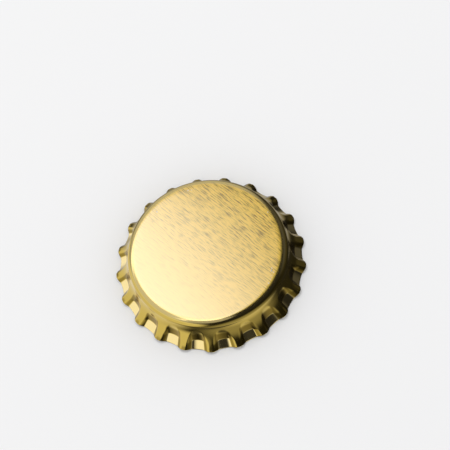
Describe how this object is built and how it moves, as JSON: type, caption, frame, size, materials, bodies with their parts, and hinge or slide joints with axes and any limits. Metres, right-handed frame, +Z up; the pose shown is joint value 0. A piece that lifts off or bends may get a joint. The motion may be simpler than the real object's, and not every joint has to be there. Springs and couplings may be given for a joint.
{
  "type": "bottle cap",
  "caption": "Crown cap for a bottle: a pressed gold tinplate shell with a fluted skirt and a moulded seal inside the top.",
  "frame": {"origin": "on the cap's axis, in the plane that the edge of the skirt stands on", "axes": "+Z up through the top panel, -Y through one fold of the skirt"},
  "size_m": [0.032, 0.0319, 0.0061],
  "materials": {
    "gold_tinplate": "gold lacquer over tinplate, satin with a straight brushed grain on the panel and glossy on the skirt",
    "seal_plastic": "moulded, slightly glossy grey beige plastic"
  },
  "bodies": {
    "root": {"crown_shell": "gold_tinplate", "seal": "seal_plastic"}
  },
  "joints": []
}
